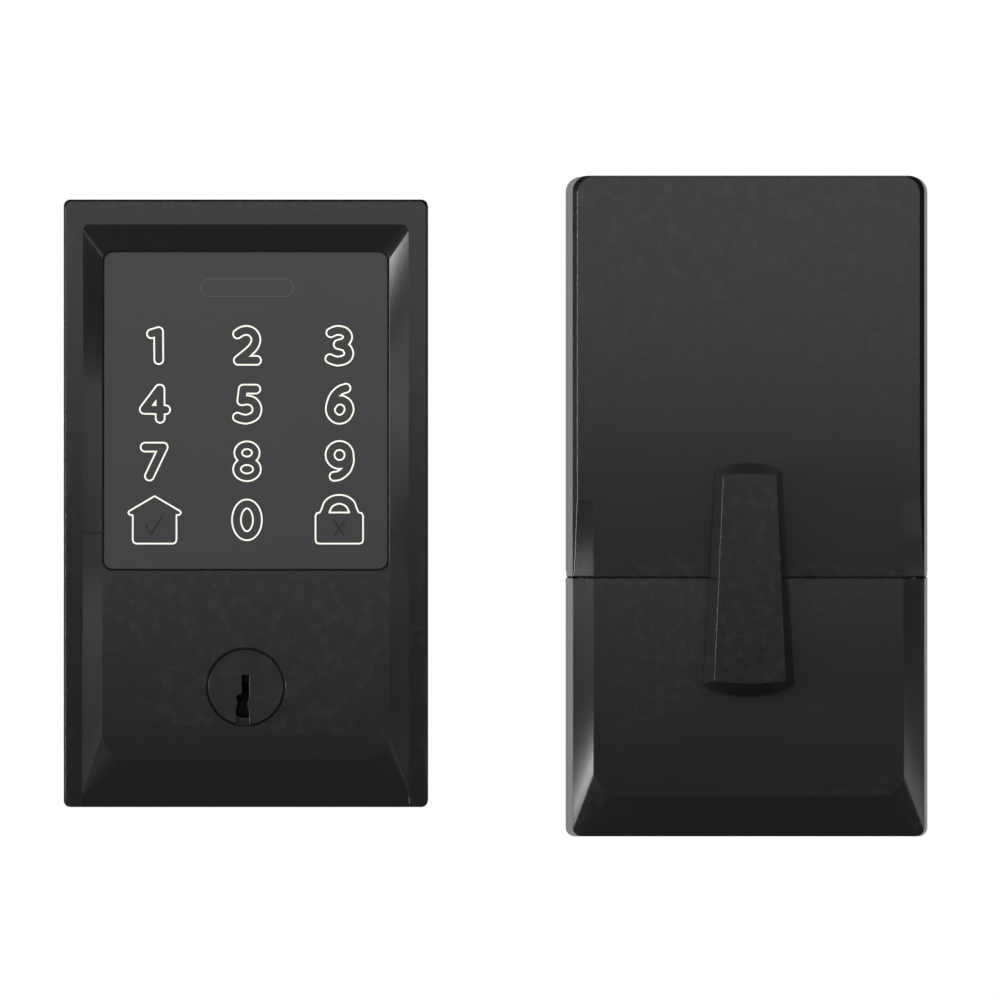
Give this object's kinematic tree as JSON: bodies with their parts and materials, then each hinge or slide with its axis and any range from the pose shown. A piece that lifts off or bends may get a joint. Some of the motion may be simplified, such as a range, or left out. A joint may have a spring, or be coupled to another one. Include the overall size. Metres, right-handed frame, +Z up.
{
  "type": "keypad smart lock",
  "caption": "Electronic deadbolt in two halves: a keypad half with a touch window and key cylinder, and an interior half with a thumbturn, geared motor and battery cover.",
  "frame": {"origin": "on the key plug's axis, on the plane of the door-side backs of both halves", "axes": "+Z up, the lock's visible faces look towards -Y, +X to the right as seen from the front, from the keypad half towards the thumbturn half"},
  "size_m": [0.1821, 0.0977, 0.1395],
  "materials": {
    "black_metal": "satin black powder coat",
    "lens_glass": "dark gloss window, opaque",
    "rubber": "soft black",
    "black_plastic": "fine texture",
    "white_plastic": "natural acetal",
    "board": "green solder mask",
    "steel": "zinc plated",
    "brass": "turned",
    "dark_plated": "dark satin plating",
    "battery_wrap": "printed-free film wrap"
  },
  "bodies": {
    "lock_base": {"exterior_housing": "black_metal", "touchscreen_lens": "lens_glass", "lens_seal": "rubber", "touch_sensor_board": "board", "light_guide": "white_plastic", "keypad_circuit_board": "board", "alarm_buzzer": "black_plastic", "exterior_back_plate": "steel", "exterior_plate_screws": "steel", "weather_gasket": "rubber", "cable_grommet": "rubber", "bolt_posts": "steel", "cylinder_body": "dark_plated", "driver_pins": "steel", "pin_springs": "steel", "pin_chamber_cap": "brass", "interior_housing": "black_metal", "spindle_bushing": "brass", "idler_pin": "steel", "drive_motor": "steel", "gearbox_plate": "steel", "gearbox_screws": "steel", "position_sensor": "board", "main_circuit_board": "board", "radio_module": "steel", "cable_socket": "white_plastic", "board_screws": "steel", "battery_tray": "black_plastic", "batteries": "battery_wrap", "battery_contacts": "steel", "button_spring": "steel", "button_switch": "black_plastic", "cover_detent": "steel", "support_plate": "steel", "through_bolts": "steel", "mounting_screws": "steel"},
    "plug_group": {"key_plug": "dark_plated", "key_pins": "dark_plated", "plug_retainer": "steel", "tailpiece": "steel"},
    "turn_group": {"thumbturn": "black_metal", "turn_spindle": "steel", "spindle_clip": "steel", "output_gear": "brass", "position_magnet": "steel"},
    "idler_group": {"idler_gear": "white_plastic"},
    "motor_rotor": {"motor_gear": "brass"},
    "cover_group": {"battery_cover": "black_metal"},
    "button_group": {"pairing_button": "white_plastic"}
  },
  "joints": [
    {"name": "thumbturn_turn", "type": "hinge", "parent": "lock_base", "child": "turn_group", "pos_m": [0.1056, 0, 0.0227], "axis": [0, 1, 0], "range_deg": [0, 90]},
    {"name": "idler_spin", "type": "hinge", "parent": "lock_base", "child": "idler_group", "pos_m": [0.11801, 0, 0.00792], "axis": [0, 1, 0], "range_deg": [-280, 10]},
    {"name": "motor_spin", "type": "hinge", "parent": "lock_base", "child": "motor_rotor", "pos_m": [0.10877, 0, -0.00527], "axis": [0, 1, 0], "range_deg": [-10, 820]},
    {"name": "key_plug_turn", "type": "hinge", "parent": "lock_base", "child": "plug_group", "pos_m": [0, 0, 0], "axis": [0, 1, 0], "range_deg": [-90, 90]},
    {"name": "battery_cover_slide", "type": "slide", "parent": "lock_base", "child": "cover_group", "axis": [0, 0, 1], "range_m": [0, 0.034]},
    {"name": "pairing_button_press", "type": "slide", "parent": "lock_base", "child": "button_group", "axis": [0, 1, 0], "range_m": [0, 0.0008], "stiffness_N_per_m": 600}
  ],
  "couplings": [
    {"joint": "idler_spin", "follows": "thumbturn_turn", "ratio": -3},
    {"joint": "motor_spin", "follows": "thumbturn_turn", "ratio": 9}
  ]
}
